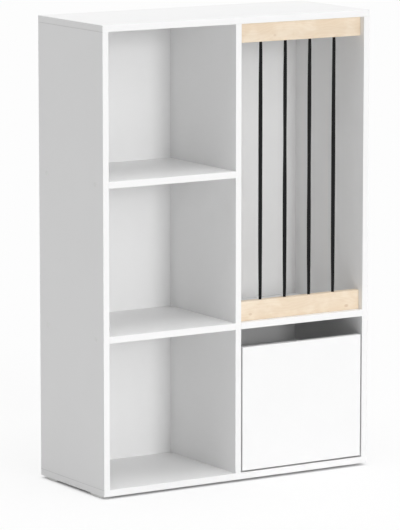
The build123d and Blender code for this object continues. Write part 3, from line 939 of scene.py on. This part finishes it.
class BOOKSHELF_OT_stretch_bands(bpy.types.Operator):
    """Stretch the four elastic bands between the rails"""

    bl_idname = "bookshelf.stretch_bands"
    bl_label = "Elastic Bands"

    # where each band turns on its way up, as a share of its height, and by how far
    turns = ((0.48, 4.0), (0.61, 17.0), (0.51, 13.0), (0.80, 7.0))
    low, high = 0.388, 1.104
    rail_low, rail_high = 0.435, 1.057
    knot = 0.011
    # lengths over which a band opens out, turns and pleats, and how deep its pleats are
    open_over, turn_over, pleat_over, pleat = 0.070, 0.090, 0.016, 0.0009

    def route(self, x, y):
        """Points read from the band's own spline, from the upper knot down to the lower."""
        points = [self.high, self.high - self.knot, self.rail_high, 0.9, 0.75, 0.6]
        points += [self.rail_low, self.low + self.knot, self.low]
        points[0] -= 0.0005
        points[-1] += 0.0005
        data = bpy.data.curves.new("route", "CURVE")
        data.dimensions = "3D"
        data.resolution_u = 24
        spline = data.splines.new("NURBS")
        spline.points.add(len(points) - 1)
        for point, z in zip(spline.points, points):
            point.co = (x, y, z, 1)
        spline.order_u = 3
        spline.use_endpoint_u = True
        line = bpy.data.objects.new("route", data)
        bpy.context.collection.objects.link(line)
        bpy.context.view_layer.update()
        mesh = bpy.data.meshes.new_from_object(line)
        found = [vertex.co.copy() for vertex in mesh.vertices]
        bpy.data.objects.remove(line)
        return found

    def section(self, z, turn_at, turn):
        """Width, thickness and turn of the band at one height."""
        sizes = bpy.context.scene.bookshelf_bands
        end = min(z - self.rail_low, self.rail_high - z)
        share = 1 - math.exp(-max(end, 0) / self.open_over)
        wide = sizes.neck + (sizes.width - sizes.neck) * share
        thick = sizes.neck + (sizes.thickness - sizes.neck) * share
        place = (z - self.rail_low) / (self.rail_high - self.rail_low)
        off = (place - turn_at) * (self.rail_high - self.rail_low) / self.turn_over
        return wide, thick, turn * math.exp(-off * off)

    def gather(self, z):
        """Depth of the pleats where the flat elastic is drawn together under a rail."""
        end = min(z - self.rail_low, self.rail_high - z)
        part = end / self.pleat_over
        return 0.0 if end < 0 else self.pleat * part * math.exp(1 - part)

    def knot_radius(self, z):
        """Radius of the knots at the ends, or 0 between them."""
        half = self.knot / 2
        for middle in (self.low + half, self.high - half):
            off = abs(z - middle) / half
            if off < 0.97:
                return max(0.0056 * math.sqrt(1 - off * off), 0.0028)
        return 0.0

    def band(self, number, x, y):
        turn_at, turn = self.turns[number]
        path = self.route(x, y)
        name = f"elastic_band_{number + 1}"
        bm = bmesh.new()
        around = 20
        rings = []
        for point in path:
            wide, thick, angle = self.section(point.z, turn_at, turn)
            fold = self.gather(point.z)
            lump = self.knot_radius(point.z)
            twist = Matrix.Rotation(math.radians(angle), 3, "Z")
            ring = []
            for i in range(around):
                a = math.tau * i / around
                c, s = math.cos(a), math.sin(a)
                u = math.copysign(abs(c) ** 0.4, c)
                flat = Vector(
                    (
                        wide / 2 * u,
                        thick / 2 * math.copysign(abs(s) ** 0.4, s)
                        + fold * math.cos(3 * math.pi * u),
                        0,
                    )
                )
                if lump:
                    swell = 0.9 + 0.1 * math.cos(2 * a + 900 * point.z)
                    flat = Vector((c, s, 0)) * lump * swell
                ring.append(bm.verts.new(point + twist @ flat))
            rings.append(ring)
        uv = bm.loops.layers.uv.new("UVMap")
        lengths = [path[0].z - point.z for point in path]
        for k in range(len(rings) - 1):
            for i in range(around):
                j = (i + 1) % around
                face = bm.faces.new(
                    [rings[k][i], rings[k + 1][i], rings[k + 1][j], rings[k][j]]
                )
                face.smooth = True
                for loop, (u, v) in zip(
                    face.loops, ((i, k), (i, k + 1), (i + 1, k + 1), (i + 1, k))
                ):
                    a = math.tau * u / around
                    loop[uv].uv = (math.cos(a) / 2 + 0.5, lengths[v])
        bm.faces.new(rings[0])
        bm.faces.new(list(reversed(rings[-1])))
        mesh = bpy.data.meshes.new(name)
        bm.normal_update()
        bm.to_mesh(mesh)
        bm.free()
        piece = bpy.data.objects.new(name, mesh)
        bpy.context.collection.objects.link(piece)
        return piece, path

    def execute(self, context):
        cloth = black_elastic()
        for number in range(4):
            node = f"elastic_cord_{number + 1}"
            low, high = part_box(node)
            middle = (low + high) / 2
            piece, path = self.band(number, middle.x, middle.y)
            piece.data.materials.append(cloth)
            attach(piece, CARCASS)
            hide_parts(node)
        return {"FINISHED"}


class BOOKSHELF_OT_set_stage(bpy.types.Operator):
    """Set the floor, the lights and the camera"""

    bl_idname = "bookshelf.set_stage"
    bl_label = "Stage"

    # the camera, fitted to the photograph: its lens, its place in metres, its turn in degrees
    lens = 259.47
    stand = (-4.8474, -7.7202, 1.9664)
    look_down, look_right = 9.088, 32.047
    # each lamp: azimuth from the front, height, spread in degrees, and strength
    lamps = {
        "front_low": (4, 9, 16, 0.28),
        "front_raised": (4, 25, 30, 0.14),
        "overhead": (0, 85, 50, 0.64),
    }
    sky_strength = 0.23
    floor_glow = 0.80
    floor_drop = 0.0003

    def floor(self):
        bpy.ops.object.select_all(action="DESELECT")
        bpy.ops.mesh.primitive_plane_add(size=60, location=(0, 0, -self.floor_drop))
        floor = bpy.context.object
        floor.name = "studio_floor"
        finish = Finish("studio_floor")
        grain = finish.noise(40, 2)
        tone = finish.blend(grain, linear(246, 246, 246), linear(250, 250, 250))
        lit = finish.node("ShaderNodeBsdfDiffuse", {}, {"Color": tone})
        glow = finish.node("ShaderNodeEmission", {}, {"Color": WHITE, "Strength": 1.0})
        share = self.looked_at(finish) * self.floor_glow * self.away(finish)
        mixed = finish.node("ShaderNodeMixShader", {}, {0: share, 1: lit, 2: glow})
        finish.node("ShaderNodeOutputMaterial", inputs={"Surface": mixed})
        floor.data.materials.append(finish.material)

    def looked_at(self, finish):
        """1 on the rays that see a thing, mirror it or pass through glass to it."""
        seen = finish.node("ShaderNodeLightPath", output="Is Camera Ray")
        glossy = finish.node("ShaderNodeLightPath", output="Is Glossy Ray")
        through = finish.node("ShaderNodeLightPath", output="Is Transmission Ray")
        return seen + glossy + through

    def away(self, finish):
        """0 under the shelf, where the floor lies in its shadow, and 1 a little outside."""
        across = finish.along(0).size().under(RIGHT * MM, 0.03)
        deep = finish.along(1).size().under(REAR * MM, 0.03)
        return 1.0 - across * deep

    def lamp(self, name, azimuth, elevation, spread, strength):
        """A broad soft light from far away, so that the floor is lit evenly."""
        data = bpy.data.lights.new(name, "SUN")
        data.energy = math.pi * strength
        data.angle = math.radians(spread)
        lamp = bpy.data.objects.new(name, data)
        bpy.context.collection.objects.link(lamp)
        a, e = math.radians(azimuth), math.radians(elevation)
        back = Vector((math.sin(a) * math.cos(e), -math.cos(a) * math.cos(e), math.sin(e)))
        lamp.rotation_euler = (-back).to_track_quat("-Z", "Y").to_euler()

    def sky(self):
        """White where it is seen or mirrored, and a soft light on everything else."""
        sky = Finish("studio", bpy.data.worlds)
        bpy.context.scene.world = sky.material
        soft, clear = (
            sky.node("ShaderNodeBackground", {}, {"Color": WHITE, "Strength": strength})
            for strength in (self.sky_strength, 1.0)
        )
        share = self.looked_at(sky)
        mixed = sky.node("ShaderNodeMixShader", {}, {0: share, 1: soft, 2: clear})
        sky.node("ShaderNodeOutputWorld", inputs={"Surface": mixed})

    def camera(self):
        data = bpy.data.cameras.new("photo_view")
        data.lens = self.lens
        data.sensor_width = 36.0
        data.clip_end = 200
        camera = bpy.data.objects.new("photo_view", data)
        bpy.context.collection.objects.link(camera)
        camera.location = self.stand
        camera.rotation_euler = (
            math.radians(90 - self.look_down),
            0,
            -math.radians(self.look_right),
        )
        bpy.context.scene.camera = camera

    def execute(self, context):
        self.floor()
        self.sky()
        for name, values in self.lamps.items():
            self.lamp(name, *values)
        self.camera()
        context.scene.view_settings.view_transform = "Standard"
        return {"FINISHED"}


OPERATORS = [
    BOOKSHELF_OT_finish_boards,
    BOOKSHELF_OT_finish_fittings,
    BOOKSHELF_OT_drive_screws,
    BOOKSHELF_OT_set_cams,
    BOOKSHELF_OT_mould_plastics,
    BOOKSHELF_OT_turn_rollers,
    BOOKSHELF_OT_stretch_bands,
    BOOKSHELF_OT_set_stage,
]


class BOOKSHELF_PT_build(bpy.types.Panel):
    bl_label = "Bookshelf"
    bl_idname = "BOOKSHELF_PT_build"
    bl_space_type = "VIEW_3D"
    bl_region_type = "UI"
    bl_category = "Bookshelf"

    def draw(self, context):
        for group in (context.scene.bookshelf_finishes, context.scene.bookshelf_bands):
            for key in group.bl_rna.properties.keys():
                if key not in {"rna_type", "name"}:
                    self.layout.prop(group, key)
        for operator in OPERATORS:
            self.layout.operator(operator.bl_idname)


CLASSES = [BookshelfFinishes, BookshelfBands, *OPERATORS, BOOKSHELF_PT_build]


def register():
    for cls in CLASSES:
        bpy.utils.register_class(cls)
    bpy.types.Scene.bookshelf_finishes = bpy.props.PointerProperty(
        type=BookshelfFinishes
    )
    bpy.types.Scene.bookshelf_bands = bpy.props.PointerProperty(type=BookshelfBands)


def unregister():
    del bpy.types.Scene.bookshelf_bands
    del bpy.types.Scene.bookshelf_finishes
    for cls in reversed(CLASSES):
        bpy.utils.unregister_class(cls)


def main():
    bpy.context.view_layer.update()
    register()
    bpy.ops.bookshelf.finish_boards()
    bpy.ops.bookshelf.finish_fittings()
    bpy.ops.bookshelf.drive_screws()
    bpy.ops.bookshelf.set_cams()
    bpy.ops.bookshelf.mould_plastics()
    bpy.ops.bookshelf.turn_rollers()
    bpy.ops.bookshelf.stretch_bands()
    bpy.ops.bookshelf.set_stage()


if __name__ == "__main__":
    main()
